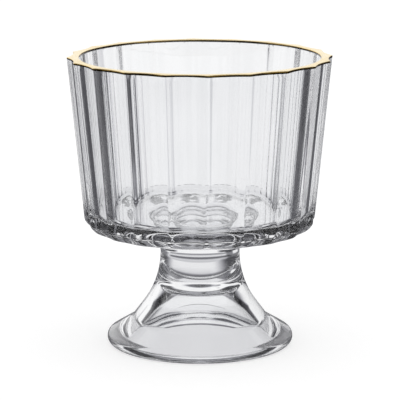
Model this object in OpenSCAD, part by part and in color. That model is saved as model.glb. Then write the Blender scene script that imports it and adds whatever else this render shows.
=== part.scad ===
// Footed dessert glass: a fluted bowl fused to a waisted stem and a hollow foot,
// with a gilded lip. Millimetres, +Z up, origin at the middle of the foot's resting ring.

/* [Bowl] */
// Height of the bowl from its underside to the lip
bowl_height = 59.5; // [48:0.5:75]
// Diameter of the lip, measured over the flute ridges
lip_dia = 90.6; // [76:0.2:108]
// Outward lean of the wall from upright, in degrees
wall_lean = 5.65; // [2:0.05:10]
// Thickness of the wall at the lip, measured at a ridge
lip_thickness = 4.1; // [3.4:0.1:6]
// Thickness of the wall at the floor, measured at a ridge
floor_wall = 4.3; // [3.2:0.1:7]
// Thickness of the glass under the floor
floor_thickness = 5.8; // [3:0.1:12]
// Radius of the rounded edge round the bowl's underside
heel_radius = 4.8; // [3:0.1:9]
// Radius of the inside corner between the floor and the wall
floor_corner_radius = 2.6; // [1:0.1:6]

/* [Flutes] */
// Number of flutes round the bowl
flute_count = 20; // [16:1:28]
// Depth of a flute below the flat between its two ridges, at the lip
flute_depth = 1; // [0.6:0.1:1.6]
// Width of the land left on each ridge, at the lip
ridge_land = 0.6; // [0.3:0.1:2]

/* [Stem] */
// Height of the stem and foot, from the table to the bowl's underside
stem_height = 40.5; // [35:0.5:45]
// Diameter of the waist, the narrowest place
waist_dia = 27.3; // [22:0.1:30]
// Radius of the hollow curve from the waist up to the bowl
shoulder_radius = 8.7; // [5:0.1:12]
// Slope of the flare below the waist, from upright, in degrees
flare_angle = 37; // [32:0.5:42]

/* [Foot] */
// Diameter of the foot
foot_dia = 64.2; // [56:0.2:74]
// Radius of the foot's rounded edge
foot_edge_radius = 2.4; // [1.5:0.1:3.4]
// Rise of the foot's top towards the stem, from level, in degrees
foot_rise = 31; // [22:0.5:36]
// Diameter at which the flare meets the foot's top
instep_dia = 47.4; // [42:0.2:52]
// Radius of the hollow curve between the flare and the foot's top
instep_radius = 6; // [2:0.1:8]
// Width of the flat ring that the glass stands on
ring_width = 4.7; // [2.5:0.1:7]
// Depth of the hollow under the foot
hollow_depth = 19; // [12:0.5:23]
// Diameter of the hollow's top before its corner is rounded
hollow_top_dia = 19.2; // [13:0.2:22]
// Radius of the corner at the hollow's top
hollow_corner_radius = 1.2; // [0.8:0.1:3]

/* [Gilding] */
// Height of the gilt edge down both sides of the lip
gilt_drop = 0.8; // [0.6:0.1:3]
// Thickness of the gilt edge
gilt_thickness = 0.25; // [0.1:0.05:0.4]

/* [Hidden] */
$fn = 96;
// Straight steps that draw each arc of an outline
arc_steps = 10;

// How far a cut runs past the face it opens
overrun = 1;
// Sweep of the shoulder curve, in degrees, short of level so that its edge isn't a feather
shoulder_sweep = 70;
// Turn of the flutes' lower bars under the heel, in degrees
heel_turn = 45;
glass_colour = [0.88, 0.92, 0.93];
glass_alpha_share = 0.45;
gilt_colour = [0.86, 0.68, 0.27];

// Bowl
lip_z = stem_height + bowl_height;
lip_r = lip_dia / 2;
heel_r = lip_r - bowl_height * tan(wall_lean);
gilt_z = lip_z - gilt_drop;
floor_z = stem_height + floor_thickness;
mouth_r = lip_r - lip_thickness;
floor_r = heel_r + floor_thickness * tan(wall_lean) - floor_wall;
inside_lean = atan((mouth_r - floor_r) / (lip_z - floor_z));

// Flutes: each is a round bar that leans with the wall, set in to its depth at the lip and the heel
flute_pitch = 360 / flute_count;
flute_half_angle = flute_pitch / 2 - asin(ridge_land / lip_dia);
flute_half_width = lip_r * sin(flute_half_angle);
flute_radius = (pow(flute_half_width, 2) + pow(flute_depth, 2)) / (2 * flute_depth);
flute_lip_r = lip_r * cos(flute_half_angle) - flute_depth;
heel_half_width = heel_r * sin(flute_half_angle);
heel_flute_depth = flute_radius - sqrt(pow(flute_radius, 2) - pow(heel_half_width, 2));
flute_heel_r = heel_r * cos(flute_half_angle) - heel_flute_depth;
flute_lean = atan((flute_lip_r - flute_heel_r) / bowl_height);

// Flutes round the heel: each has a second bar, turned half way under about the centre of the heel's curve
heel_centre = [heel_r + heel_radius * (tan(wall_lean) - 1 / cos(wall_lean)), stem_height + heel_radius];
heel_turn_r = heel_centre[0] + heel_radius * cos(heel_turn);
heel_turn_half_width = heel_turn_r * sin(flute_half_angle);
heel_turn_inset = flute_radius - sqrt(pow(flute_radius, 2) - pow(heel_turn_half_width, 2))
    + heel_turn_r * (1 - cos(flute_half_angle)) * cos(heel_turn);

// Stem and foot
waist_r = waist_dia / 2;
waist_z = stem_height - shoulder_radius * sin(shoulder_sweep);
shoulder_centre = [waist_r + shoulder_radius, waist_z];
edge_centre = [foot_dia / 2 - foot_edge_radius, foot_edge_radius];
edge_top = edge_centre + foot_edge_radius * [sin(foot_rise), cos(foot_rise)];
instep_r = instep_dia / 2;
instep = [instep_r, edge_top[1] + (edge_top[0] - instep_r) * tan(foot_rise)];
flare_dir = [sin(flare_angle), -cos(flare_angle)];
instep_reach = instep_radius * tan((90 - flare_angle - foot_rise) / 2);
instep_from = instep - instep_reach * flare_dir;
instep_centre = instep_from + instep_radius * [cos(flare_angle), sin(flare_angle)];
// Where the flare's slope, carried upwards, would reach the waist's radius
flare_corner = [waist_r, instep[1] + (instep_r - waist_r) / tan(flare_angle)];
flare_reach = waist_z - flare_corner[1];
flare_radius = flare_reach / tan(flare_angle / 2);
flare_centre = [waist_r + flare_radius, waist_z];
hollow_mouth_r = edge_centre[0] - ring_width;
hollow_top_r = hollow_top_dia / 2;
hollow_lean = atan((hollow_mouth_r - hollow_top_r) / hollow_depth);

// Points along an arc, from one angle to another
function arc(centre, radius, from, to) = [
    for (i = [0 : arc_steps])
        let (angle = from + (to - from) * i / arc_steps)
            centre + radius * [cos(angle), sin(angle)]
];

// Half section of a tapered tumbler that stands on the level line, with its lower corner rounded
module tumbler_section(bottom_r, lean, height, corner_r) {
    centre = [bottom_r + corner_r * (tan(lean) - 1 / cos(lean)), corner_r];
    polygon(concat(
        [[0, 0]],
        arc(centre, corner_r, -90, -lean),
        [[bottom_r + height * tan(lean), height], [0, height]]
    ));
}

// Half section of the stem and foot: the shoulder, the flare, the instep and the foot's round edge
module foot_section() {
    polygon(concat(
        [[0, stem_height]],
        arc(shoulder_centre, shoulder_radius, 180 - shoulder_sweep, 180),
        arc(flare_centre, flare_radius, 180, 180 + flare_angle),
        arc(instep_centre, instep_radius, 180 + flare_angle, 270 - foot_rise),
        arc(edge_centre, foot_edge_radius, 90 - foot_rise, -90),
        [[0, 0]]
    ));
}

// Leaning round bars that cut the flutes, grown by an inset
module flute_cuts(inset = 0) {
    for (i = [0 : flute_count - 1])
        rotate([0, 0, (i + 0.5) * flute_pitch])
            translate([flute_lip_r, 0, lip_z])
                rotate([0, flute_lean, 0])
                    translate([flute_radius, 0, -bowl_height - flute_radius])
                        cylinder(h = bowl_height + 2 * flute_radius, r = flute_radius + inset);
}

// Round bars that carry the flutes on under the heel
module heel_cuts() {
    for (i = [0 : flute_count - 1])
        rotate([0, 0, (i + 0.5) * flute_pitch])
            translate([heel_centre[0], 0, heel_centre[1]])
                rotate([0, heel_turn, 0])
                    translate([heel_radius - heel_turn_inset + flute_radius, 0, -flute_radius])
                        cylinder(h = 2 * flute_radius, r = flute_radius);
}

// Fluted band of the wall between two levels, pared back by an inset on both sides
module lip_band(from, to, inset = 0) {
    inner = inset / cos(inside_lean) + mouth_r;
    outer = lip_r - inset / cos(wall_lean);
    difference() {
        rotate_extrude() polygon([
            [inner + (from - lip_z) * tan(inside_lean), from],
            [outer + (from - lip_z) * tan(wall_lean), from],
            [outer + (to - lip_z) * tan(wall_lean), to],
            [inner + (to - lip_z) * tan(inside_lean), to]
        ]);
        flute_cuts(inset);
    }
}

// The glass inside the gilt edge
module lip_core() {
    lip_band(gilt_z - overrun, lip_z - gilt_thickness, gilt_thickness);
}

// Pressed bowl: smooth and round inside, fluted outside from the lip down and round the heel
module bowl() {
    color(glass_colour, glass_alpha_share) {
        difference() {
            rotate_extrude() translate([0, stem_height])
                tumbler_section(heel_r, wall_lean, bowl_height - gilt_drop, heel_radius);
            rotate_extrude() translate([0, floor_z])
                tumbler_section(floor_r, inside_lean, lip_z - floor_z + overrun, floor_corner_radius);
            flute_cuts();
            heel_cuts();
        }
        lip_core();
    }
}

// Pressed stem and foot in one piece, hollow underneath, fused by its flat top to the bowl
module foot() {
    color(glass_colour, glass_alpha_share)
        difference() {
            rotate_extrude() foot_section();
            rotate_extrude() translate([0, hollow_depth]) mirror([0, 1])
                tumbler_section(hollow_top_r, hollow_lean, hollow_depth + overrun, hollow_corner_radius);
        }
}

// Fired gold line, wrapped over the lip and down both of its sides
module rim_gilding() {
    color(gilt_colour)
        difference() {
            lip_band(gilt_z, lip_z);
            lip_core();
        }
}

bowl();
foot();
rim_gilding();
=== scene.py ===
"""Looks of a footed dessert glass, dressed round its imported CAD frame.

A fluted bowl and a hollow foot of clear pressed glass are fused at a disc under the bowl,
and the lip carries a fired gold line. Sizes are millimetres in the classes and metres in
the meshes. +Z is up, and the foot stands on the floor at the origin.
"""

import logging
import math
from dataclasses import dataclass, field
from enum import Enum

import bpy
import numpy as np
from numpy.typing import NDArray
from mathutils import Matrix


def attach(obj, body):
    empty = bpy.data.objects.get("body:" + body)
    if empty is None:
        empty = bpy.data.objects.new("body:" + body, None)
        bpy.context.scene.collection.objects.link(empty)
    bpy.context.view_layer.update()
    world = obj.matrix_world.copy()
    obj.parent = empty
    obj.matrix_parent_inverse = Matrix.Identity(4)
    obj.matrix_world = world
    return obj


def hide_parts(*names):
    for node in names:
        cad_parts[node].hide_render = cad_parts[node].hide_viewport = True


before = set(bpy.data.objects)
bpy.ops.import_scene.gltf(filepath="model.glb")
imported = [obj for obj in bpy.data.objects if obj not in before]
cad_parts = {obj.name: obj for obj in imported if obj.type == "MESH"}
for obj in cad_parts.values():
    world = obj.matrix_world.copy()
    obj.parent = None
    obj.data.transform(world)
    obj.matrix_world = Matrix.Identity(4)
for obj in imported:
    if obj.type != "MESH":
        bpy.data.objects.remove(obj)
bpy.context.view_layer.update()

Array = NDArray[np.float64]
Whole = NDArray[np.int64]
Colour = tuple[float, float, float, float]
Stops = tuple[tuple[float, float], ...]
Socket = bpy.types.NodeSocket
Tree = bpy.types.NodeTree

MM = 0.001
# Points of a profile nearer than this count as one
SAME_POINT_MM = 1e-6
# Values that most of a noise pattern lies between
NOISE_SPAN = (0.3, 0.7)
# Room on each side of a whole number of turns
HALF_TURN = 0.5
# Name of the gilding's map, along the brush and across it
BRUSH_MAP = "brush_path"
WHITE = "#ffffff"
# Tint of the dark gaps between the tent's panels
COOL = "#f4f4ff"
log = logging.getLogger("dessert_glass")


class Body(Enum):
    """CAD bodies that pieces ride on."""

    GLASS = "root"


class Slot(Enum):
    """Material slots of the record."""

    GLASS = "clear_glass"
    GOLD = "fired_gold"


def linear(hex_colour: str) -> Colour:
    """Turns an sRGB hex colour to linear light, by the sRGB curve.

    Args:
        hex_colour: Six hex digits after a hash sign.

    Returns:
        Linear red, green and blue, and a full alpha.
    """
    srgb = np.array([int(hex_colour[i:i + 2], 16) for i in (1, 3, 5)]) / 255
    light = np.where(srgb <= 0.04045, srgb / 12.92, ((srgb + 0.055) / 1.055) ** 2.4)
    return (float(light[0]), float(light[1]), float(light[2]), 1.0)


def add_node(
    tree: Tree,
    kind: str,
    settings: dict | None = None,
    values: dict | None = None,
    links: dict | None = None,
) -> bpy.types.Node:
    """Adds one node with its settings, socket values and links.

    Args:
        tree: Node tree that gets the node.
        kind: Blender's id of the node type.
        settings: Attributes of the node.
        values: Constant values by input socket, named or numbered.
        links: Output sockets of earlier nodes by the input socket they feed.

    Returns:
        The new node.
    """
    node = tree.nodes.new(kind)
    for name, value in (settings or {}).items():
        setattr(node, name, value)
    for socket, value in (values or {}).items():
        node.inputs[socket].default_value = value
    for socket, source in (links or {}).items():
        tree.links.new(source, node.inputs[socket])
    return node


def set_stops(bar: bpy.types.ColorRamp, stops: list[tuple[float, Colour]]) -> None:
    """Sets the colours along a ramp.

    Args:
        bar: The ramp.
        stops: Place and colour of each stop, the first at 0 and the last at 1.
    """
    for at, colour in stops[1:-1]:
        bar.elements.new(at).color = colour
    bar.elements[0].color = stops[0][1]
    bar.elements[-1].color = stops[-1][1]


def new_material(name: str) -> tuple[bpy.types.Material, Tree]:
    """Makes an empty node material.

    Args:
        name: The material's name.

    Returns:
        The material and its node tree.
    """
    material = bpy.data.materials.new(name)
    material.use_nodes = True
    material.node_tree.nodes.clear()
    return material, material.node_tree


@dataclass(frozen=True)
class PressedGlass:
    """Soda-lime glass, pressed in an iron mould and fire polished.

    The mould leaves slow waves a few millimetres long, which fire polishing softens but
    doesn't remove. They make refracted edges waver. Slow clouds of faint grey and haze,
    too weak to see in one wall, show where light is turned often.
    """

    name: str = "pressed_soda_lime_glass"
    clear: str = "#fcfcfd"
    grey: str = "#f5f6f7"
    ior: float = 1.52
    cloud_mm: float = 22.0
    cloud_detail: float = 2.0
    hazy_clouds: tuple[float, float] = (0.45, 0.75)
    haze: tuple[float, float] = (0.0, 0.004)
    wave_mm: float = 9.0
    wave_height_mm: float = 0.012
    wave_detail: float = 1.0
    wave_fineness: float = 0.35

    def material(self) -> bpy.types.Material:
        """Builds the glass: slow clouds tint it and haze it, and mould waves bend it.

        Returns:
            The material.
        """
        material, tree = new_material(self.name)
        spot = add_node(tree, "ShaderNodeTexCoord").outputs["Object"]
        cloud = add_node(
            tree, "ShaderNodeTexNoise",
            values={"Scale": 1 / (self.cloud_mm * MM), "Detail": self.cloud_detail},
            links={"Vector": spot},
        )
        tint = add_node(
            tree, "ShaderNodeMix", {"data_type": "RGBA"},
            {6: linear(self.clear), 7: linear(self.grey)}, {0: cloud.outputs["Fac"]},
        )
        haze = add_node(
            tree, "ShaderNodeMapRange",
            values={
                1: self.hazy_clouds[0], 2: self.hazy_clouds[1], 3: self.haze[0], 4: self.haze[1],
            },
            links={0: cloud.outputs["Fac"]},
        )
        wave = add_node(
            tree, "ShaderNodeTexNoise",
            values={
                "Scale": 1 / (self.wave_mm * MM), "Detail": self.wave_detail,
                "Roughness": self.wave_fineness,
            },
            links={"Vector": spot},
        )
        bump = add_node(
            tree, "ShaderNodeBump", values={"Distance": self.wave_height_mm * MM},
            links={"Height": wave.outputs["Fac"]},
        )
        shader = add_node(
            tree, "ShaderNodeBsdfPrincipled",
            values={"IOR": self.ior, "Transmission Weight": 1.0, "Metallic": 0.0},
            links={
                "Base Color": tint.outputs[2],
                "Roughness": haze.outputs[0],
                "Normal": bump.outputs[0],
            },
        )
        add_node(tree, "ShaderNodeOutputMaterial", links={0: shader.outputs[0]})
        return material


@dataclass(frozen=True)
class FusedSeam:
    """Place where two hot pieces of glass have run together, so that light passes unbent."""

    name: str = "fused_glass_seam"
    clear: str = "#fafafb"

    def material(self) -> bpy.types.Material:
        """Builds a seam that nothing shows of.

        Returns:
            The material.
        """
        material, tree = new_material(self.name)
        shader = add_node(
            tree, "ShaderNodeBsdfPrincipled",
            values={"Base Color": linear(self.clear), "Alpha": 0.0, "Roughness": 0.0},
        )
        add_node(tree, "ShaderNodeOutputMaterial", links={0: shader.outputs[0]})
        return material


@dataclass(frozen=True)
class FiredGold:
    """Liquid bright gold, brushed on the lip and fired.

    A mirror-like film that thins towards both margins, with faint brush streaks along the lip.
    Its colour holds painted light: a painted highlight makes the crown pale yellow, painted
    shade makes both margins a dark olive brown and its back, seen through the glass, dull grey.
    """

    name: str = "fired_liquid_gold"
    # Painted highlight: the crown of the lip is coloured paler than the gold
    crown: str = "#ffe8b0"
    middle: str = "#e6bb58"
    # Painted shade: both margins are coloured a dark olive brown
    margin: str = "#3a2b0a"
    # Painted shade: the back is coloured a dull grey, so that the glass shows it dark
    back: str = "#6e6e6e"
    bands: tuple[float, ...] = (0.06, 0.085, 0.11, 0.39, 0.415, 0.44, 0.5)
    roughness: tuple[float, float] = (0.12, 0.3)
    streak_mm: float = 0.5
    streak_length_mm: float = 14.0
    streak_detail: float = 3.0

    def material(self) -> bpy.types.Material:
        """Builds the gold: colour across the band by the map's V, brush streaks along its U.

        V runs from the outer margin over the crown to the inner one, and then is the back.

        Returns:
            The material.
        """
        material, tree = new_material(self.name)
        across = add_node(tree, "ShaderNodeUVMap", {"uv_map": BRUSH_MAP}).outputs[0]
        split = add_node(tree, "ShaderNodeSeparateXYZ", links={0: across})
        # Colour across the band: painted shade at the margins and on the back, a painted highlight
        # on the crown
        ramp = add_node(tree, "ShaderNodeValToRGB", links={0: split.outputs["Y"]})
        half = (self.margin, self.middle, self.crown)
        colours = (self.margin, *half, *half[::-1], self.back, self.back)
        set_stops(
            ramp.color_ramp,
            [(at, linear(colour)) for at, colour in zip((0.0, *self.bands, 1.0), colours)],
        )
        stretch = add_node(
            tree, "ShaderNodeMapping",
            values={"Scale": (1 / self.streak_length_mm, 1 / self.streak_mm, 1.0)},
            links={"Vector": across},
        )
        streak = add_node(
            tree, "ShaderNodeTexNoise", values={"Scale": 1.0, "Detail": self.streak_detail},
            links={"Vector": stretch.outputs[0]},
        )
        rough = add_node(
            tree, "ShaderNodeMapRange",
            values={
                1: NOISE_SPAN[0], 2: NOISE_SPAN[1], 3: self.roughness[0], 4: self.roughness[1],
            },
            links={0: streak.outputs["Fac"]},
        )
        shader = add_node(
            tree, "ShaderNodeBsdfPrincipled", values={"Metallic": 1.0},
            links={"Base Color": ramp.outputs[0], "Roughness": rough.outputs[0]},
        )
        add_node(tree, "ShaderNodeOutputMaterial", links={0: shader.outputs[0]})
        return material


def arc(
    centre: tuple[float, float], radius: float, start: float, end: float, steps: int
) -> Array:
    """Points along an arc: the centre plus the radius times the cosine and sine of an angle.

    Args:
        centre: Radius and height of the arc's centre, in mm.
        radius: The arc's radius, in mm.
        start: First angle in degrees, from level outwards.
        end: Last angle in degrees.
        steps: Number of steps between the two.

    Returns:
        Radius and height of each point, one row each.
    """
    turn = np.radians(np.linspace(start, end, steps + 1))
    return np.stack([centre[0] + radius * np.cos(turn), centre[1] + radius * np.sin(turn)], 1)


def line(start: tuple[float, float], end: tuple[float, float], steps: int) -> Array:
    """Points evenly spaced along a straight line, both ends included.

    Args:
        start: Radius and height of the first point, in mm.
        end: Radius and height of the last point.
        steps: Number of steps between the two.

    Returns:
        Radius and height of each point, one row each.
    """
    share = np.linspace(0, 1, steps + 1)[:, None]
    return np.asarray(start) * (1 - share) + np.asarray(end) * share


def join(*runs: Array) -> Array:
    """Joins runs of profile points, leaving out the point that two runs share.

    Args:
        runs: Runs of radius and height rows, each starting where the last one ends.

    Returns:
        The whole profile.
    """
    points = np.concatenate(runs)
    step = np.linalg.norm(np.diff(points, axis=0), axis=1)
    return points[np.concatenate([[True], step > SAME_POINT_MM])]


def around(radius: Array, height: Array, angle: Array) -> Array:
    """Places rings in space: x and y are the radius times the angle's cosine and sine.

    Args:
        radius: Radius in mm by row and column.
        height: Height in mm by row and column.
        angle: Angle of each column, in radians.

    Returns:
        Points in metres, by row, column and axis.
    """
    radius, height, angle = np.broadcast_arrays(radius, height, angle[None, :])
    return np.stack([radius * np.cos(angle), radius * np.sin(angle), height], -1) * MM


@dataclass
class RingSurface:
    """Closed surface of rings, with a pole at each end or its last ring joined to its first."""

    name: str
    rings: Array
    poles: Array | None = None
    sharp_deg: float = 50.0

    def faces(self) -> tuple[Array, Whole, Whole]:
        """Numbers the faces: quads between rings, and fans of triangles at the poles.

        Returns:
            Vertices, quads and triangles.
        """
        rows, columns = self.rings.shape[:2]
        vertices = self.rings.reshape(-1, 3)
        column = np.arange(columns)
        following = np.roll(column, -1)
        bands = rows if self.poles is None else rows - 1
        row = np.arange(bands)[:, None]
        above = (row + 1) % rows
        quads = np.stack([
            row * columns + column, row * columns + following,
            above * columns + following, above * columns + column,
        ], -1).reshape(-1, 4)
        triangles = np.zeros((0, 3), np.int64)
        if self.poles is not None:
            first, last = rows * columns, rows * columns + 1
            vertices = np.concatenate([vertices, self.poles])
            top = (rows - 1) * columns
            triangles = np.concatenate([
                np.stack([np.full(columns, first), following, column], 1),
                np.stack([np.full(columns, last), top + column, top + following], 1),
            ])
        return vertices, quads, triangles

    def first_disc(self) -> NDArray[np.bool_]:
        """Marks the faces round the first pole: its fan and the quads of the first band.

        Returns:
            True for each such face, in the mesh's order.
        """
        rows, columns = self.rings.shape[:2]
        quads, fans = np.arange((rows - 1) * columns), np.arange(2 * columns)
        return np.concatenate([quads, fans]) < columns

    def build(self) -> bpy.types.Object:
        """Makes the object: a smooth mesh with its faces turned outwards.

        Six times the volume is the sum over triangles of one corner dotted with the cross
        product of the other two. Where it is negative, every face is turned round.

        Returns:
            The new object, linked to the scene.
        """
        vertices, quads, triangles = self.faces()
        corners = vertices[quads]
        fans = vertices[triangles]
        halves = np.concatenate([corners[:, [0, 1, 2]], corners[:, [0, 2, 3]], fans])
        volume = np.einsum("ij,ij->", halves[:, 0], np.cross(halves[:, 1], halves[:, 2])) / 6
        if volume < 0:
            quads, triangles = quads[:, ::-1], triangles[:, ::-1]
        mesh = bpy.data.meshes.new(self.name)
        mesh.from_pydata(vertices, [], quads.tolist() + triangles.tolist())
        mesh.polygons.foreach_set("use_smooth", np.ones(len(mesh.polygons), bool))
        mesh.set_sharp_from_angle(angle=math.radians(self.sharp_deg))
        mesh.update()
        piece = bpy.data.objects.new(self.name, mesh)
        bpy.context.scene.collection.objects.link(piece)
        return piece


def dress(
    piece: bpy.types.Object,
    materials: list[bpy.types.Material],
    second: NDArray[np.bool_] | None = None,
) -> None:
    """Gives a piece its materials.

    Args:
        piece: The piece.
        materials: Its material, and a second one for some of its faces if it has two.
        second: True for each face that has the second material.
    """
    for material in materials:
        piece.data.materials.append(material)
    if second is not None:
        piece.data.polygons.foreach_set("material_index", second.astype(np.int32))


@dataclass
class Flutes:
    """Leaning concave flutes round the bowl, each a part of a round bar's side."""

    count: int = 20
    depth: float = 1.0
    land: float = 0.6
    soften: float = 0.3
    columns: int = 32
    crowding: float = 0.8

    def angles(self) -> Array:
        """Angles of the mesh's columns, crowded towards the ridges.

        Each flute runs from -1 to 1, and a mix of that and its sine gives the angle.

        Returns:
            Angles in radians, from 0 to a full turn.
        """
        pitch = 2 * math.pi / self.count
        share = np.linspace(-1, 1, self.columns, endpoint=False)
        eased = self.crowding * np.sin(share * math.pi / 2) + (1 - self.crowding) * share
        middles = (np.arange(self.count) + 0.5) * pitch
        return (middles[:, None] + eased[None, :] * pitch / 2).ravel()

    def inset(self, lip_r: float, angle: Array, radius: Array, level: float) -> Array:
        """Depth of the flutes under the turned surface, along that surface's normal.

        Each flute is the side of a bar of radius R that meets the ridges' lands. Between
        them the bar stands in by its own rise, the root of R^2 - w^2 less its value at the
        land, plus what the round wall bulges over the flat between the lands. A soft
        maximum with nought rounds the ridges: near nought, by less than the softening
        length k, the depth is raised by k h (1 - h), with h a half plus the depth over 2k.

        Args:
            lip_r: Radius of the bowl's lip, where the flutes have their full depth, in mm.
            angle: Angle of each column, in radians.
            radius: Radius of each row of the turned surface, in mm.
            level: Level part of the surface's outward normal.

        Returns:
            Depth in mm by row and column.
        """
        pitch = 2 * math.pi / self.count
        half_angle = pitch / 2 - math.asin(self.land / (2 * lip_r))
        half_width = lip_r * math.sin(half_angle)
        bar = (half_width ** 2 + self.depth ** 2) / (2 * self.depth)
        off = (angle % pitch) - pitch / 2
        across, land = radius * np.sin(off), radius * math.sin(half_angle)
        rise = np.sqrt(bar ** 2 - across ** 2) - np.sqrt(bar ** 2 - land ** 2)
        depth = rise + radius * (np.cos(off) - math.cos(half_angle)) * level
        share = np.clip(0.5 + 0.5 * depth / self.soften, 0, 1)
        return depth * share + self.soften * share * (1 - share)


@dataclass
class Bowl:
    """Pressed bowl: smooth and round inside, fluted outside, with a rounded heel.

    The last fields set how fine the mesh is: rows of each part, the radius of the ring
    round the floor's pole, and the least cosine that a plane of the heel is divided by.
    """

    name: str = "pressed_bowl"
    height: float = 59.5
    lip_z: float = 100.0
    lip_r: float = 45.3
    wall_lean: float = 5.65
    lip_thickness: float = 4.1
    floor_wall: float = 4.3
    floor_thickness: float = 5.8
    heel_radius: float = 4.8
    heel_turn: float = 45.0
    heel_soften: float = 0.3
    corner_radius: float = 2.6
    lip_round: float = 0.35
    lip_power: float = 0.6
    seam_r: float = 19.37
    flutes: Flutes = field(default_factory=Flutes)
    under_rows: int = 6
    heel_rows: int = 44
    wall_rows: int = 24
    lip_rows: int = 20
    inside_rows: int = 20
    corner_rows: int = 14
    floor_rows: int = 10
    pole_r: float = 2.0
    least_cosine: float = 0.1

    @property
    def base_z(self) -> float:
        """Height of the underside."""
        return self.lip_z - self.height

    @property
    def heel_r(self) -> float:
        """Radius at which the wall's slope, carried down, meets the underside."""
        return self.lip_r - self.height * math.tan(math.radians(self.wall_lean))

    @property
    def heel_centre(self) -> tuple[float, float]:
        """Radius and height of the heel curve's centre."""
        lean = math.radians(self.wall_lean)
        inward = self.heel_radius * (1 / math.cos(lean) - math.tan(lean))
        return self.heel_r - inward, self.base_z + self.heel_radius

    @property
    def floor_z(self) -> float:
        """Height of the floor inside."""
        return self.base_z + self.floor_thickness

    @property
    def mouth_r(self) -> float:
        """Radius of the mouth at the lip."""
        return self.lip_r - self.lip_thickness

    @property
    def floor_r(self) -> float:
        """Radius at which the inside wall, carried down, meets the floor."""
        slope = math.tan(math.radians(self.wall_lean))
        return self.heel_r + self.floor_thickness * slope - self.floor_wall

    @property
    def inside_lean(self) -> float:
        """Lean of the inside wall, in degrees."""
        rise = self.lip_z - self.floor_z
        return math.degrees(math.atan((self.mouth_r - self.floor_r) / rise))

    def wall(self, height: Array, angle: Array) -> tuple[Array, Array]:
        """Fluted wall: the leaning turned wall, set in along its normal by the flutes' depth.

        Args:
            height: Heights of the rows on the turned wall, in mm.
            angle: Angle of each column of the mesh, in radians.

        Returns:
            Radius and height in mm, by row and column.
        """
        lean = math.radians(self.wall_lean)
        radius = (self.heel_r + (height - self.base_z) * math.tan(lean))[:, None]
        depth = self.flutes.inset(self.lip_r, angle[None, :], radius, math.cos(lean))
        return radius - depth * math.cos(lean), height[:, None] + depth * math.sin(lean)

    def heel(self, angle: Array) -> tuple[Array, Array]:
        """Fluted heel, as a distance from the heel's centre at each angle of its section.

        The distance is the least of three: the heel's radius, the plane of the wall's flute
        and the plane of a lower bar turned half way under. A plane's distance is the
        heel's radius less the flute's depth, over the cosine of the angle from its normal.
        The edge to the lower bar is softened by fire polishing: where the two distances
        are within a length k of each other, the least is lowered by (k - gap)^2 / 4k.

        Args:
            angle: Angle of each column of the mesh, in radians.

        Returns:
            Radius and height in mm, by row and column.
        """
        centre_r, centre_z = self.heel_centre
        turn = np.radians(np.linspace(-90, -self.wall_lean, self.heel_rows + 1))[:, None]
        planes = []
        for normal in (math.radians(-self.wall_lean), math.radians(-self.heel_turn)):
            level = math.cos(normal)
            radius = np.array([[centre_r + self.heel_radius * level]])
            depth = self.flutes.inset(self.lip_r, angle[None, :], radius, level)
            cosine = np.maximum(np.cos(turn - normal), self.least_cosine)
            planes.append((self.heel_radius - depth) / cosine)
        upper = np.minimum(self.heel_radius, planes[0])
        gap = np.clip(self.heel_soften - np.abs(upper - planes[1]), 0, None)
        reach = np.minimum(upper, planes[1]) - gap ** 2 / (4 * self.heel_soften)
        return centre_r + reach * np.cos(turn), centre_z + reach * np.sin(turn)

    def lip(self, angle: Array) -> tuple[Array, Array]:
        """Crown of the lip, a squared half ellipse from the fluted outside to the round inside.

        The radius goes from one side to the other as a power of the cosine of an angle,
        and the height rises as the same power of its sine.

        Args:
            angle: Angle of each column, in radians.

        Returns:
            Radius and height in mm, by row and column.
        """
        start_z = self.lip_z - self.lip_round
        outer = self.wall(np.array([start_z]), angle)[0]
        inner = self.mouth_r - self.lip_round * math.tan(math.radians(self.inside_lean))
        turn = np.linspace(0, math.pi, self.lip_rows + 1)[:, None]
        cosine = np.sign(np.cos(turn)) * np.abs(np.cos(turn)) ** self.lip_power
        rise = np.abs(np.sin(turn)) ** self.lip_power
        radius = (outer + inner) / 2 + (outer - inner) / 2 * cosine
        return radius, start_z + self.lip_round * np.broadcast_to(rise, radius.shape)

    def inside_profile(self) -> Array:
        """Turned inside from the lip down the wall, round the corner and in along the floor.

        Returns:
            Radius and height rows.
        """
        lean = math.radians(self.inside_lean)
        curve = self.corner_radius
        centre = (
            self.floor_r + curve * (math.tan(lean) - 1 / math.cos(lean)), self.floor_z + curve
        )
        corner = arc(centre, curve, -self.inside_lean, -90, self.corner_rows)
        start = (self.mouth_r - self.lip_round * math.tan(lean), self.lip_z - self.lip_round)
        return join(
            line(start, tuple(corner[0]), self.inside_rows),
            corner,
            line(tuple(corner[-1]), (self.pole_r, self.floor_z), self.floor_rows),
        )

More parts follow.
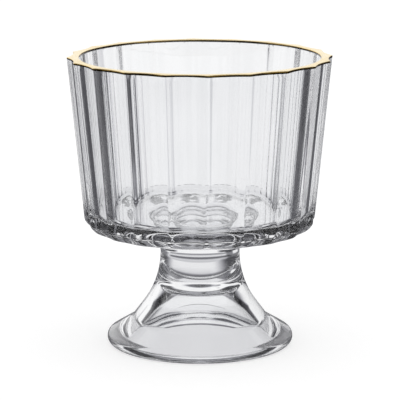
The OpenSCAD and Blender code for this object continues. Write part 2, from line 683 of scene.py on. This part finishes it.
    def build(self, glass: bpy.types.Material, seam: bpy.types.Material) -> bpy.types.Object:
        """Builds the bowl as one closed surface, from the underside's middle to the floor's.

        Args:
            glass: Material of the bowl.
            seam: Material of the disc that is fused to the stem.

        Returns:
            The bowl.
        """
        angle = self.flutes.angles()
        lean = math.radians(self.wall_lean)
        centre_r, centre_z = self.heel_centre
        wall_from = centre_z - self.heel_radius * math.sin(lean)
        rim_of_seam = (self.seam_r, self.base_z)
        under = join(
            line((self.seam_r / 2, self.base_z), rim_of_seam, 1),
            line(rim_of_seam, (centre_r, self.base_z), self.under_rows),
        )[:-1]
        levels = np.linspace(wall_from, self.lip_z - self.lip_round, self.wall_rows + 1)[1:]
        inner = self.inside_profile()[1:]
        wide = np.ones((1, len(angle)))
        lip_r, lip_z = self.lip(angle)
        heel_r, heel_z = self.heel(angle)
        wall_r, wall_z = self.wall(levels, angle)
        radius = np.concatenate(
            [under[:, :1] * wide, heel_r, wall_r, lip_r[1:], inner[:, :1] * wide]
        )
        height = np.concatenate(
            [under[:, 1:] * wide, heel_z, wall_z, lip_z[1:], inner[:, 1:] * wide]
        )
        poles = np.array([[0, 0, self.base_z], [0, 0, self.floor_z]]) * MM
        surface = RingSurface(self.name, around(radius, height, angle), poles)
        piece = surface.build()
        dress(piece, [glass, seam], surface.first_disc())
        return piece


@dataclass
class Foot:
    """Pressed stem and foot: a short waist that flares to a wide foot, hollow underneath.

    A drop of glass hangs in the top of the hollow, where the plunger left it. The last
    fields set how fine the mesh is, and the radius of the ring round the hollow's pole.
    """

    name: str = "pressed_foot"
    stem_height: float = 40.5
    waist_r: float = 13.65
    shoulder_radius: float = 8.7
    shoulder_sweep: float = 70.0
    flare_angle: float = 37.0
    foot_r: float = 32.1
    edge_radius: float = 2.4
    rise: float = 31.0
    instep_r: float = 23.7
    instep_radius: float = 6.0
    ring_width: float = 4.7
    ring_round: float = 0.9
    hollow_depth: float = 19.0
    hollow_top_r: float = 9.6
    hollow_corner: float = 2.4
    hollow_dome: float = 0.5
    drop_r: float = 7.0
    drop_depth: float = 0.8
    columns: int = 384
    shoulder_rows: int = 26
    flare_rows: int = 30
    instep_rows: int = 8
    edge_rows: int = 26
    ring_rows: int = 8
    corner_rows: int = 10
    dome_rows: int = 28
    pole_r: float = 0.4

    def outside_profile(self) -> Array:
        """Turned outside from the seam's edge down to the resting ring.

        It is all arcs that meet smoothly: shoulder, flare, instep and the foot's round edge.

        Returns:
            Radius and height rows.
        """
        rise, flare = math.radians(self.rise), math.radians(self.flare_angle)
        sweep = math.radians(self.shoulder_sweep)
        waist_z = self.stem_height - self.shoulder_radius * math.sin(sweep)
        edge = np.array([self.foot_r - self.edge_radius, self.edge_radius])
        edge_top = edge + self.edge_radius * np.array([math.sin(rise), math.cos(rise)])
        instep = np.array([
            self.instep_r, edge_top[1] + (edge_top[0] - self.instep_r) * math.tan(rise)
        ])
        reach = self.instep_radius * math.tan((math.pi / 2 - flare - rise) / 2)
        start = instep - reach * np.array([math.sin(flare), -math.cos(flare)])
        bend = start + self.instep_radius * np.array([math.cos(flare), math.sin(flare)])
        corner_z = instep[1] + (self.instep_r - self.waist_r) / math.tan(flare)
        flare_radius = (waist_z - corner_z) / math.tan(flare / 2)
        shoulder = (self.waist_r + self.shoulder_radius, waist_z)
        hang = (self.waist_r + flare_radius, waist_z)
        flare_end = 180 + self.flare_angle
        return join(
            arc(shoulder, self.shoulder_radius, 180 - self.shoulder_sweep, 180, self.shoulder_rows),
            arc(hang, flare_radius, 180, flare_end, self.flare_rows),
            arc(tuple(bend), self.instep_radius, flare_end, 270 - self.rise, self.instep_rows),
            arc(tuple(edge), self.edge_radius, 90 - self.rise, -90, self.edge_rows),
        )

    def hollow_profile(self) -> Array:
        """Turned hollow from the resting ring's inner edge up its sloped side to the domed top.

        The dome's height falls off as the square of its radius, and meets the corner's
        slope. The drop lowers it by half the drop's depth times one plus a cosine, whose
        angle goes from nought in the middle to half a turn at the drop's radius.

        Returns:
            Radius and height rows.
        """
        mouth = self.foot_r - self.edge_radius - self.ring_width
        slope = math.atan2(self.hollow_depth, mouth - self.hollow_top_r)
        steep = 90 - math.degrees(slope)
        lip, curve = self.ring_round, self.hollow_corner
        edge = (mouth + lip * math.tan(slope / 2), lip)
        reach = self.hollow_top_r - curve * math.tan(slope / 2)
        level = 90 - math.degrees(math.atan2(2 * self.hollow_dome, reach))
        corner = arc((reach, 0.0), curve, steep, level, self.corner_rows)
        corner[:, 1] += self.hollow_depth - self.hollow_dome - corner[-1, 1]
        dome_r = corner[-1, 0]
        radius = np.linspace(dome_r, self.pole_r, self.dome_rows + 1)
        drop = 0.5 + 0.5 * np.cos(np.pi * np.minimum(radius / self.drop_r, 1))
        fall = self.hollow_dome * (radius / dome_r) ** 2 + self.drop_depth * drop
        dome = np.stack([radius, self.hollow_depth - fall], 1)
        return join(arc(edge, lip, 270, 180 + steep, self.ring_rows), corner, dome)

    def build(self, glass: bpy.types.Material, seam: bpy.types.Material) -> bpy.types.Object:
        """Builds the foot as one closed surface, from the middle of its top to the hollow's.

        Args:
            glass: Material of the foot.
            seam: Material of the disc that is fused to the bowl.

        Returns:
            The foot.
        """
        angle = np.linspace(0, 2 * math.pi, self.columns, endpoint=False)
        outside = self.outside_profile()
        disc = line((outside[0, 0] / 2, self.stem_height), tuple(outside[0]), 1)
        profile = join(disc, outside, self.hollow_profile())
        top_z, hollow_z = self.stem_height, self.hollow_depth - self.drop_depth
        poles = np.array([[0, 0, top_z], [0, 0, hollow_z]]) * MM
        rings = around(profile[:, :1], profile[:, 1:], angle)
        surface = RingSurface(self.name, rings, poles)
        piece = surface.build()
        dress(piece, [glass, seam], surface.first_disc())
        return piece


@dataclass
class RimGilding:
    """Fired gold line, a thin film wrapped over the lip and a little way down both sides.

    Its margins waver as a brushed line does: each wave has a count round the lip, a share
    of the waver and a phase. The inner margin wavers less. The film stands proud of the
    glass, sinks into it underneath, and its feathered edges are buried just under the skin.
    """

    name: str = "gilt_lip"
    drop: float = 0.8
    waver: float = 0.06
    waves: tuple[tuple[int, float, float], ...] = ((5, 1.0, 0.7), (13, 0.6, 2.1))
    inner_calm: float = 0.4
    proud: float = 0.02
    sunk: float = 0.1
    buried: float = 0.01
    feather_power: int = 12
    side_rows: int = 3
    sharp_deg: float = 80.0

    def section(self, bowl: Bowl, angle: Array) -> tuple[Array, Array]:
        """Section of the gilded glass, from the outer margin over the lip to the inner one.

        The sides follow the slopes of the wall, down to the drop plus the margin's waver, a
        sum of sines of the angle.

        Args:
            bowl: The bowl whose lip is gilded.
            angle: Angle of each column, in radians.

        Returns:
            Radius and height in mm, by row and column.
        """
        lip_r, lip_z = bowl.lip(angle)
        start_z = bowl.lip_z - bowl.lip_round
        wave = self.waver * sum(
            share * np.sin(count * angle + phase) for count, share, phase in self.waves
        )
        sides = np.linspace(1, 0, self.side_rows, endpoint=False)[:, None]
        outer_drop = self.drop - bowl.lip_round + wave
        outer_z = start_z - sides * outer_drop[None, :]
        outer_r = lip_r[:1] + (outer_z - start_z) * math.tan(math.radians(bowl.wall_lean))
        inner_z = start_z - sides[::-1] * (outer_drop - self.inner_calm * wave)[None, :]
        inner_r = lip_r[-1:] + (inner_z - start_z) * math.tan(math.radians(bowl.inside_lean))
        radius = np.concatenate([outer_r, lip_r, inner_r])
        return radius, np.concatenate([outer_z, lip_z, inner_z])

    def build(self, bowl: Bowl, gold: bpy.types.Material) -> bpy.types.Object:
        """Builds the film as a closed band: the lip's own surface, moved out and moved in.

        Each skin is the lip's section shifted along its normal, and the two meet in a
        feathered edge at both margins: the shift is full in the middle and goes to nought
        as the root of one less a high power of the way across.

        Args:
            bowl: The bowl whose lip is gilded.
            gold: Material of the film.

        Returns:
            The gilding.
        """
        angle = bowl.flutes.angles()
        radius, height = self.section(bowl, angle)
        along_r, along_z = np.gradient(radius, axis=0), np.gradient(height, axis=0)
        length = np.hypot(along_r, along_z)
        normal_r, normal_z = along_z / length, -along_r / length
        across = np.linspace(-1, 1, len(radius))[:, None]
        feather = np.sqrt(np.clip(1 - across ** self.feather_power, 0, 1))
        out = -self.buried + (self.proud + self.buried) * feather
        into = -self.buried - (self.sunk - self.buried) * feather
        skins_r = np.concatenate([radius + out * normal_r, (radius + into * normal_r)[-2:0:-1]])
        skins_z = np.concatenate([height + out * normal_z, (height + into * normal_z)[-2:0:-1]])
        rings = around(skins_r, skins_z, angle)
        surface = RingSurface(self.name, rings, None, self.sharp_deg)
        piece = surface.build()
        self.map_brush(piece, rings, bowl.lip_r, len(radius))
        dress(piece, [gold])
        return piece

    def map_brush(self, piece: bpy.types.Object, rings: Array, lip_r: float, rows: int) -> None:
        """Maps the film: U is the way round in millimetres, V goes across the outer skin.

        V is 0 at the outer margin and a half at the inner one, and 1 all over the back.
        Where a face crosses the start of the turn, a full turn is added on its far side.

        Args:
            piece: The gilding.
            rings: Its points by row, column and axis.
            lip_r: Radius of the lip, in mm.
            rows: Rows of the outer skin.
        """
        mesh = piece.data
        corner = np.zeros(len(mesh.loops), np.int32)
        mesh.loops.foreach_get("vertex_index", corner)
        row, column = np.divmod(corner, rings.shape[1])
        level = np.where(row < rows, row * 0.5 / (rows - 1), 1.0)
        turn = np.arctan2(*rings[0, :, [1, 0]])[column].reshape(-1, 4)
        wraps = (turn.max(1, keepdims=True) - turn) > math.pi
        way = np.where(wraps, turn + 2 * math.pi, turn).ravel() * lip_r
        layer = mesh.uv_layers.new(name=BRUSH_MAP)
        layer.data.foreach_set("uv", np.stack([way, level], 1).ravel().astype(np.float32))


def shade_along(tree: Tree, source: Socket, stops: Stops, unit: float = 1.0) -> Socket:
    """Light that goes in straight steps from stop to stop along a measure that starts at nought.

    Args:
        tree: Node tree that gets the nodes.
        source: The measure.
        stops: Measure and light of each stop, the first at nought.
        unit: The stops' unit, in the measure's own.

    Returns:
        The light.
    """
    end = stops[-1][0]
    share = add_node(
        tree, "ShaderNodeMath", {"operation": "DIVIDE"}, {1: end * unit}, {0: source}
    )
    ramp = add_node(tree, "ShaderNodeValToRGB", links={0: share.outputs[0]})
    set_stops(ramp.color_ramp, [(at / end, (light, light, light, 1.0)) for at, light in stops])
    return ramp.outputs[0]


def darkest(tree: Tree, lights: list[Socket]) -> Socket:
    """Least of several lights.

    Args:
        tree: Node tree that gets the nodes.
        lights: The lights, at least one.

    Returns:
        The least.
    """
    least = lights[0]
    for light in lights[1:]:
        least = add_node(
            tree, "ShaderNodeMath", {"operation": "MINIMUM"}, links={0: least, 1: light}
        ).outputs[0]
    return least


def light_tint(tree: Tree, light: Socket) -> Socket:
    """Colour of the set's light: white where it is full, and cool where it is dark.

    Args:
        tree: Node tree of the world or the floor.
        light: The light, from nought to 1.

    Returns:
        The colour.
    """
    return add_node(
        tree, "ShaderNodeMix", {"data_type": "RGBA"}, {6: linear(COOL), 7: linear(WHITE)},
        {0: light},
    ).outputs[2]


@dataclass(frozen=True)
class Gap:
    """Dark gap between two white panels.

    Its middle, half width and softness are in degrees from +Y towards -X, and its light is
    a share of the panels'.
    """

    middle: float
    half: float
    soft: float = 3.0
    light: float = 0.08


def panels_seen(tree: Tree, way: Socket, gaps: tuple[Gap, ...]) -> Socket:
    """Light of the set by compass direction: white panels, dark in the gaps between them.

    The cosine of the angle between the level direction and a gap's middle gives how
    far into the gap it is.

    Args:
        tree: Node tree of the world or the floor.
        way: Direction, or place on the floor as seen from the glass.
        gaps: The gaps between the panels.

    Returns:
        The light, from the gaps' to 1.
    """
    level = add_node(
        tree, "ShaderNodeVectorMath", {"operation": "MULTIPLY"}, {1: (1, 1, 0)}, {0: way}
    )
    compass = add_node(
        tree, "ShaderNodeVectorMath", {"operation": "NORMALIZE"}, links={0: level.outputs[0]}
    )
    lights = []
    for gap in gaps:
        turn = math.radians(gap.middle)
        into = add_node(
            tree, "ShaderNodeVectorMath", {"operation": "DOT_PRODUCT"},
            {1: (-math.sin(turn), math.cos(turn), 0)}, {0: compass.outputs[0]},
        )
        edges = [math.cos(math.radians(gap.half + side * gap.soft)) for side in (1, -1)]
        lights.append(add_node(
            tree, "ShaderNodeMapRange", {"interpolation_type": "SMOOTHSTEP"},
            {1: edges[0], 2: edges[1], 3: 1.0, 4: gap.light}, {0: into.outputs["Value"]},
        ).outputs[0])
    return darkest(tree, lights)


@dataclass(frozen=True)
class FloorRing:
    """Inner part of the floor, with the distances over which it gives way to what lies outside.

    It has gaps of its own, or one light all over.
    """

    from_mm: float
    to_mm: float
    gaps: tuple[Gap, ...] = ()
    light: float = 1.0


@dataclass(frozen=True)
class FloorView:
    """What the floor shows to light that comes out of the glass.

    It has gaps far out, rings with other gaps nearer in, and shades by distance from the
    glass's middle, which a sector can keep to one side. Glass turns light each time that it
    bends it or throws it back, and each part of the glass does so its own number of times.
    A view with a number of turns is only for light that was turned that often.
    """

    far: tuple[Gap, ...] = ()
    rings: tuple[FloorRing, ...] = ()
    shade_mm: Stops = ()
    sector: Gap | None = None
    turns: int | None = None

    def panels(self, tree: Tree, spot: Socket, reach: Socket) -> Socket | None:
        """Panels and gaps of the view, from the far ones in through its rings.

        Args:
            tree: Node tree of the floor.
            spot: Place on the floor.
            reach: Its distance from the middle.

        Returns:
            The light, from nought to 1, or nothing where the view has no panels.
        """
        light = panels_seen(tree, spot, self.far) if self.far else None
        for ring in self.rings:
            outside = add_node(
                tree, "ShaderNodeMapRange", {"interpolation_type": "SMOOTHSTEP"},
                {1: ring.from_mm * MM, 2: ring.to_mm * MM, 3: 0.0, 4: 1.0}, {0: reach},
            )
            links = {0: outside.outputs[0]}
            if ring.gaps:
                links[2] = panels_seen(tree, spot, ring.gaps)
            if light is not None:
                links[3] = light
            light = add_node(
                tree, "ShaderNodeMix", {"data_type": "FLOAT"}, {2: ring.light, 3: 1.0}, links
            ).outputs[0]
        return light

    def shades(self, tree: Tree, spot: Socket, wavy: Socket) -> Socket | None:
        """Shades of the view by distance, within its sector if it has one.

        Args:
            tree: Node tree of the floor.
            spot: Place on the floor.
            wavy: Its distance from the middle, made to waver.

        Returns:
            The light, from nought to 1, or nothing where the view has no shades.
        """
        if not self.shade_mm:
            return None
        light = shade_along(tree, wavy, self.shade_mm, MM)
        if self.sector is None:
            return light
        return add_node(
            tree, "ShaderNodeMath", {"operation": "MAXIMUM"},
            links={0: light, 1: panels_seen(tree, spot, (self.sector,))},
        ).outputs[0]

    def light(
        self, tree: Tree, spot: Socket, reach: Socket, wavy: Socket, turned: Socket
    ) -> Socket:
        """Light of the view, and full light for what was turned another number of times.

        Args:
            tree: Node tree of the floor.
            spot: Place on the floor.
            reach: Its distance from the middle.
            wavy: The distance, made to waver.
            turned: How often the light was turned.

        Returns:
            The light, from nought to 1.
        """
        parts = (self.panels(tree, spot, reach), self.shades(tree, spot, wavy))
        whole = add_node(
            tree, "ShaderNodeMath", {"operation": "MULTIPLY"}, {0: 1.0, 1: 1.0},
            {number: part for number, part in enumerate(parts) if part is not None},
        ).outputs[0]
        if self.turns is None:
            return whole
        fits = add_node(
            tree, "ShaderNodeMath", {"operation": "COMPARE"}, {1: self.turns, 2: HALF_TURN},
            {0: turned},
        )
        return add_node(
            tree, "ShaderNodeMix", {"data_type": "FLOAT"}, {2: 1.0},
            {0: fits.outputs[0], 3: whole},
        ).outputs[0]


# Gaps round the tent and far out on the floor
FAR_GAPS = (
    Gap(34.0, 17.0, 4.0), Gap(64.0, 12.0, 5.0, 0.4), Gap(130.0, 25.0, 5.0, 0.3),
    Gap(-42.0, 12.0, 4.0), Gap(-82.0, 28.0, 5.0, 0.3),
)
# Thin grey seam between two panels, which lets the front ridges show
THIN_SEAM = Gap(18.5, 1.5, 3.0, 0.78)

# What all light through the glass sees
ALL_TURNS = FloorView(
    far=FAR_GAPS,
    rings=(
        FloorRing(800.0, 1000.0, (
            THIN_SEAM, Gap(32.0, 7.0), Gap(76.0, 17.0), Gap(140.0, 36.0), Gap(-67.0, 17.0, 7.0),
        )),
        FloorRing(250.0, 300.0, (
            THIN_SEAM, Gap(32.0, 7.0, 3.0, 0.25), Gap(96.0, 36.0, 4.0, 0.25),
            Gap(-68.0, 25.0, 6.0, 0.25),
        )),
        FloorRing(82.0, 100.0, (
            Gap(47.0, 31.0, 10.0), Gap(-68.0, 30.0, 11.0), Gap(-165.0, 10.0, 4.0),
            Gap(135.0, 12.0, 4.0),
        )),
        FloorRing(31.0, 42.0),
    ),
    shade_mm=(
        (0.0, 0.8), (26.0, 0.8), (28.0, 0.85), (30.8, 0.95), (32.8, 0.95), (34.6, 0.2),
        (40.0, 0.2), (44.5, 0.72), (50.0, 0.82), (62.0, 0.9), (190.0, 0.95), (230.0, 1.0),
        (300.0, 1.0),
    ),
)
# Straight through the stem: the arc under the bowl
STEM_ARC = FloorView(
    rings=(
        FloorRing(120.0, 150.0, (Gap(58.0, 33.0, 8.0, 0.15), Gap(-76.0, 31.0, 8.0, 0.15))),
        FloorRing(38.0, 44.0),
    ),
    shade_mm=(
        (0.0, 1.0), (80.0, 1.0), (83.0, 0.7), (90.0, 0.62), (95.0, 0.76), (100.0, 0.5),
        (108.0, 0.16), (117.0, 0.14), (132.0, 0.28), (140.0, 0.62), (156.0, 0.88),
        (180.0, 0.75), (200.0, 0.55), (245.0, 0.28), (330.0, 0.4), (400.0, 0.8), (450.0, 1.0),
    ),
    sector=Gap(-3.0, 34.0, 6.0, 0.0),
    turns=2,
)
# Thrown back once: dark stripes in the bowl's sides, and the arc low in the waist
SIDE_STRIPES = FloorView(
    far=(Gap(54.0, 28.0, 4.0, 0.1), Gap(-68.0, 25.0, 6.0, 0.12)),
    rings=(
        FloorRing(25.0, 27.0, (Gap(177.0, 163.0, 4.0, 0.2),)),
        FloorRing(15.4, 16.4, light=0.15),
    ),
    turns=3,
)
# Turned four times: the spots along the back of the bowl's floor
FLOOR_SPOTS = FloorView(
    rings=(FloorRing(224.0, 228.0, (Gap(-4.0, 8.0, 3.0, 0.0),)), FloorRing(210.0, 214.0)),
    turns=4,
)
# Turned five times: the thin arcs over the foot's front
FOOT_ARCS = FloorView(
    shade_mm=(
        (0.0, 1.0), (27.5, 1.0), (27.8, 0.15), (28.6, 0.15), (28.9, 1.0), (31.0, 1.0),
        (31.4, 0.12), (33.2, 0.12), (33.8, 1.0), (60.0, 1.0),
    ),
    turns=5,
)
# Turned seven times: the waist's lower corners, and a line across the bowl's floor
WAIST_CORNERS = FloorView(
    shade_mm=((0.0, 1.0), (26.0, 1.0), (27.0, 0.2), (33.2, 0.12), (33.8, 1.0), (60.0, 1.0)),
    turns=7,
)


@dataclass
class PaperFloor:
    """White paper that the glass stands on.

    The camera sees lit paper with the glass's shadow. Mirrored light sees panels and gaps.
    Light through the glass sees others, and shades that waver a little, as on paper that
    isn't quite flat.
    """

    name: str = "floor"
    material_name: str = "white_studio_paper"
    width_m: float = 6.0
    paper: str = "#b8b8b8"
    glow: float = 0.6
    roughness: float = 0.9
    mirrored_gaps: tuple[Gap, ...] = (Gap(180.0, 168.0, 4.0, 0.1),)
    views: tuple[FloorView, ...] = (
        ALL_TURNS, STEM_ARC, SIDE_STRIPES, FLOOR_SPOTS, FOOT_ARCS, WAIST_CORNERS,
    )
    waver_mm: float = 0.5
    waver_length_mm: float = 9.09
    waver_detail: float = 1.0

    def build(self) -> bpy.types.Object:
        """Lays a flat square of paper under the glass.

        Returns:
            The floor.
        """
        mesh = bpy.data.meshes.new(self.name)
        square = np.array([[-1, -1, 0], [1, -1, 0], [1, 1, 0], [-1, 1, 0]])
        mesh.from_pydata(square * self.width_m / 2, [], [(0, 1, 2, 3)])
        mesh.materials.append(self.material())
        floor = bpy.data.objects.new(self.name, mesh)
        bpy.context.scene.collection.objects.link(floor)
        return floor

    def material(self) -> bpy.types.Material:
        """Builds the paper: matt and softly lit for the camera, a light of its own for the glass.

        Returns:
            The material.
        """
        material, tree = new_material(self.material_name)
        path = add_node(tree, "ShaderNodeLightPath")
        through = path.outputs["Is Transmission Ray"]
        spot = add_node(tree, "ShaderNodeTexCoord").outputs["Object"]
        paper = add_node(
            tree, "ShaderNodeBsdfPrincipled",
            values={
                "Base Color": linear(self.paper), "Roughness": self.roughness,
                "Specular IOR Level": 0.0,
                "Emission Color": linear(WHITE), "Emission Strength": self.glow,
            },
        )
        light = add_node(
            tree, "ShaderNodeMix", {"data_type": "FLOAT"},
            links={
                0: through,
                2: panels_seen(tree, spot, self.mirrored_gaps),
                3: self.through_light(tree, spot, path.outputs["Ray Depth"]),
            },
        ).outputs[0]
        glow = add_node(
            tree, "ShaderNodeEmission",
            links={"Color": light_tint(tree, light), "Strength": light},
        )
        seen = add_node(
            tree, "ShaderNodeMath", {"operation": "MAXIMUM"},
            links={0: path.outputs["Is Glossy Ray"], 1: through},
        )
        mix = add_node(
            tree, "ShaderNodeMixShader",
            links={0: seen.outputs[0], 1: paper.outputs[0], 2: glow.outputs[0]},
        )
        add_node(tree, "ShaderNodeOutputMaterial", links={0: mix.outputs[0]})
        return material

    def through_light(self, tree: Tree, spot: Socket, turned: Socket) -> Socket:
        """Light of the floor as seen through the glass: the darkest of the views that hold.

        Args:
            tree: Node tree of the floor.
            spot: Place on the floor.
            turned: How often the light was turned.

        Returns:
            The light, from nought to 1.
        """
        reach = add_node(
            tree, "ShaderNodeVectorMath", {"operation": "LENGTH"}, links={0: spot}
        ).outputs["Value"]
        noise = add_node(
            tree, "ShaderNodeTexNoise",
            values={"Scale": 1 / (self.waver_length_mm * MM), "Detail": self.waver_detail},
            links={"Vector": spot},
        )
        waver = self.waver_mm * MM
        shift = add_node(
            tree, "ShaderNodeMapRange",
            values={1: NOISE_SPAN[0], 2: NOISE_SPAN[1], 3: -waver, 4: waver},
            links={0: noise.outputs["Fac"]},
        )
        wavy = add_node(
            tree, "ShaderNodeMath", {"operation": "ADD"}, links={0: reach, 1: shift.outputs[0]}
        ).outputs[0]
        lights = [view.light(tree, spot, reach, wavy, turned) for view in self.views]
        return darkest(tree, lights)


@dataclass
class LightTent:
    """Tent of white panels round the set, with dark gaps that give the glass its dark lines.

    The camera and the paper see an even white. Light through the glass sees gaps, crossed
    by a white band low down, under a grey roof. Light that was turned more often than by
    both walls has wound through the thick base, and sees shades by height for a roof.
    Mirrored light sees other gaps, and a darker roof with a white crown that gilds the lip.
    Heights are the upward part of a direction of length 1.
    """

    name: str = "light_tent"
    gaps: tuple[Gap, ...] = FAR_GAPS
    # Heights where the band begins, is full, begins to fade and is gone
    band: tuple[float, float, float, float] = (0.12, 0.15, 0.27, 0.33)
    # Heights where the roof begins and is full, and its light
    roof: tuple[float, float, float] = (0.3, 0.55, 0.18)
    wall_turns: int = 4
    wound: Stops = (
        (0.0, 1.0), (0.26, 1.0), (0.33, 0.26), (0.48, 0.26), (0.6, 0.42), (1.0, 0.42),
    )
    mirrored_gaps: tuple[Gap, ...] = (
        Gap(67.0, 7.0, 4.0, 0.12), Gap(157.0, 50.0, 5.0, 0.12), Gap(-67.0, 46.0, 5.0, 0.12),
    )
    mirrored_roof: tuple[float, float, float] = (0.5, 0.7, 0.05)
    # Heights where the crown begins and is full
    crown: tuple[float, float] = (0.93, 0.97)

    def under_roof(
        self, tree: Tree, panels: Socket, height: Socket, roof: tuple[float, float, float]
    ) -> Socket:
        """Panels that darken upwards to a roof.

        Args:
            tree: Node tree of the world.
            panels: Light of the panels.
            height: Height of the direction.
            roof: Heights where the roof begins and is full, and its light.

        Returns:
            The light.
        """
        low, high, above = roof
        share = add_node(
            tree, "ShaderNodeMapRange", {"interpolation_type": "SMOOTHSTEP"},
            {1: low, 2: high, 3: 1.0, 4: above}, {0: height},
        )
        return add_node(
            tree, "ShaderNodeMath", {"operation": "MULTIPLY"},
            links={0: panels, 1: share.outputs[0]},
        ).outputs[0]

    def through_light(self, tree: Tree, heading: Socket, height: Socket, turned: Socket) -> Socket:
        """Light of the tent as seen through the glass.

        Args:
            tree: Node tree of the world.
            heading: The direction.
            height: Its height.
            turned: How often the light was turned.

        Returns:
            The light.
        """
        edges = [
            add_node(
                tree, "ShaderNodeMapRange", {"interpolation_type": "SMOOTHSTEP"},
                {1: low, 2: high, 3: start, 4: end}, {0: height},
            ).outputs[0]
            for low, high, start, end in ((*self.band[:2], 0.0, 1.0), (*self.band[2:], 1.0, 0.0))
        ]
        band = add_node(
            tree, "ShaderNodeMath", {"operation": "MULTIPLY"}, links={0: edges[0], 1: edges[1]}
        )
        panels = add_node(
            tree, "ShaderNodeMath", {"operation": "MAXIMUM"},
            links={0: panels_seen(tree, heading, self.gaps), 1: band.outputs[0]},
        ).outputs[0]
        wound = add_node(
            tree, "ShaderNodeMath", {"operation": "MULTIPLY"},
            links={0: panels, 1: shade_along(tree, height, self.wound)},
        )
        winds = add_node(
            tree, "ShaderNodeMath", {"operation": "GREATER_THAN"},
            {1: self.wall_turns + HALF_TURN}, {0: turned},
        )
        return add_node(
            tree, "ShaderNodeMix", {"data_type": "FLOAT"},
            links={
                0: winds.outputs[0],
                2: self.under_roof(tree, panels, height, self.roof),
                3: wound.outputs[0],
            },
        ).outputs[0]

    def mirrored_light(self, tree: Tree, heading: Socket, height: Socket) -> Socket:
        """Light of the tent as the gold and the glass mirror it.

        Args:
            tree: Node tree of the world.
            heading: The direction.
            height: Its height.

        Returns:
            The light.
        """
        panels = panels_seen(tree, heading, self.mirrored_gaps)
        crown = add_node(
            tree, "ShaderNodeMapRange", {"interpolation_type": "SMOOTHSTEP"},
            {1: self.crown[0], 2: self.crown[1], 3: 0.0, 4: 1.0}, {0: height},
        )
        return add_node(
            tree, "ShaderNodeMath", {"operation": "MAXIMUM"},
            links={
                0: self.under_roof(tree, panels, height, self.mirrored_roof),
                1: crown.outputs[0],
            },
        ).outputs[0]

    def build(self) -> None:
        """Lights the set: even white for camera and floor, panels with gaps for the glass."""
        world = bpy.data.worlds.new(self.name)
        bpy.context.scene.world = world
        world.use_nodes = True
        tree = world.node_tree
        tree.nodes.clear()
        path = add_node(tree, "ShaderNodeLightPath")
        through = path.outputs["Is Transmission Ray"]
        heading = add_node(tree, "ShaderNodeTexCoord").outputs["Generated"]
        height = add_node(tree, "ShaderNodeSeparateXYZ", links={0: heading}).outputs["Z"]
        dome = add_node(
            tree, "ShaderNodeMix", {"data_type": "FLOAT"},
            links={
                0: through,
                2: self.mirrored_light(tree, heading, height),
                3: self.through_light(tree, heading, height, path.outputs["Ray Depth"]),
            },
        )
        seen = add_node(
            tree, "ShaderNodeMath", {"operation": "MAXIMUM"},
            links={0: path.outputs["Is Glossy Ray"], 1: through},
        )
        light = add_node(
            tree, "ShaderNodeMix", {"data_type": "FLOAT"}, {2: 1.0},
            {0: seen.outputs[0], 3: dome.outputs[0]},
        ).outputs[0]
        back = add_node(
            tree, "ShaderNodeBackground",
            links={"Color": light_tint(tree, light), "Strength": light},
        )
        add_node(tree, "ShaderNodeOutputWorld", links={0: back.outputs[0]})


@dataclass
class Viewpoint:
    """Camera in front of the glass, a little above it and turned off its middle."""

    name: str = "camera"
    distance_mm: float = 800.0
    eye_z_mm: float = 214.0
    aim_z_mm: float = 50.0
    turn_deg: float = 3.2
    image_px: int = 400
    focal_px: float = 2374.0
    sensor_mm: float = 36.0
    near_m: float = 0.01

    def build(self) -> bpy.types.Object:
        """Sets the camera where the photograph was taken from.

        Returns:
            The camera.
        """
        lens = bpy.data.cameras.new(self.name)
        lens.sensor_width = self.sensor_mm
        lens.lens = self.focal_px * self.sensor_mm / self.image_px
        lens.clip_start = self.near_m
        camera = bpy.data.objects.new(self.name, lens)
        turn = math.radians(self.turn_deg)
        tilt = math.atan2(self.eye_z_mm - self.aim_z_mm, self.distance_mm)
        away = self.distance_mm * MM
        camera.location = (-away * math.sin(turn), -away * math.cos(turn), self.eye_z_mm * MM)
        camera.rotation_euler = (math.pi / 2 - tilt, 0, -turn)
        bpy.context.scene.collection.objects.link(camera)
        bpy.context.scene.camera = camera
        return camera


@dataclass
class Studio:
    """The set: camera, floor and light, and how often light may bounce in the thick glass."""

    viewpoint: Viewpoint = field(default_factory=Viewpoint)
    floor: PaperFloor = field(default_factory=PaperFloor)
    tent: LightTent = field(default_factory=LightTent)
    bounces: int = 40

    def build(self) -> None:
        """Sets up the camera, the floor, the light and the bounces."""
        self.viewpoint.build()
        self.floor.build()
        self.tent.build()
        scene = bpy.context.scene
        scene.view_settings.view_transform = "Standard"
        scene.cycles.max_bounces = self.bounces
        scene.cycles.transmission_bounces = self.bounces
        scene.cycles.glossy_bounces = self.bounces
        scene.cycles.transparent_max_bounces = self.bounces


def place(piece: bpy.types.Object, node: str) -> None:
    """Puts a piece in the frame in a CAD node's stead.

    Args:
        piece: The dressed piece.
        node: The CAD node that it stands for.
    """
    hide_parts(node)
    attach(piece, Body.GLASS.value)
    log.info("%s stands for %s, with %d faces", piece.name, node, len(piece.data.polygons))


def main() -> None:
    logging.basicConfig(level=logging.INFO, format="%(name)s: %(message)s")
    Studio().build()
    glass = PressedGlass().material()
    seam = FusedSeam().material()
    gold = FiredGold().material()
    bowl = Bowl()
    place(bowl.build(glass, seam), "bowl")
    place(Foot().build(glass, seam), "foot")
    place(RimGilding().build(bowl, gold), "rim_gilding")
    bpy.context.view_layer.update()


if __name__ == "__main__":
    main()
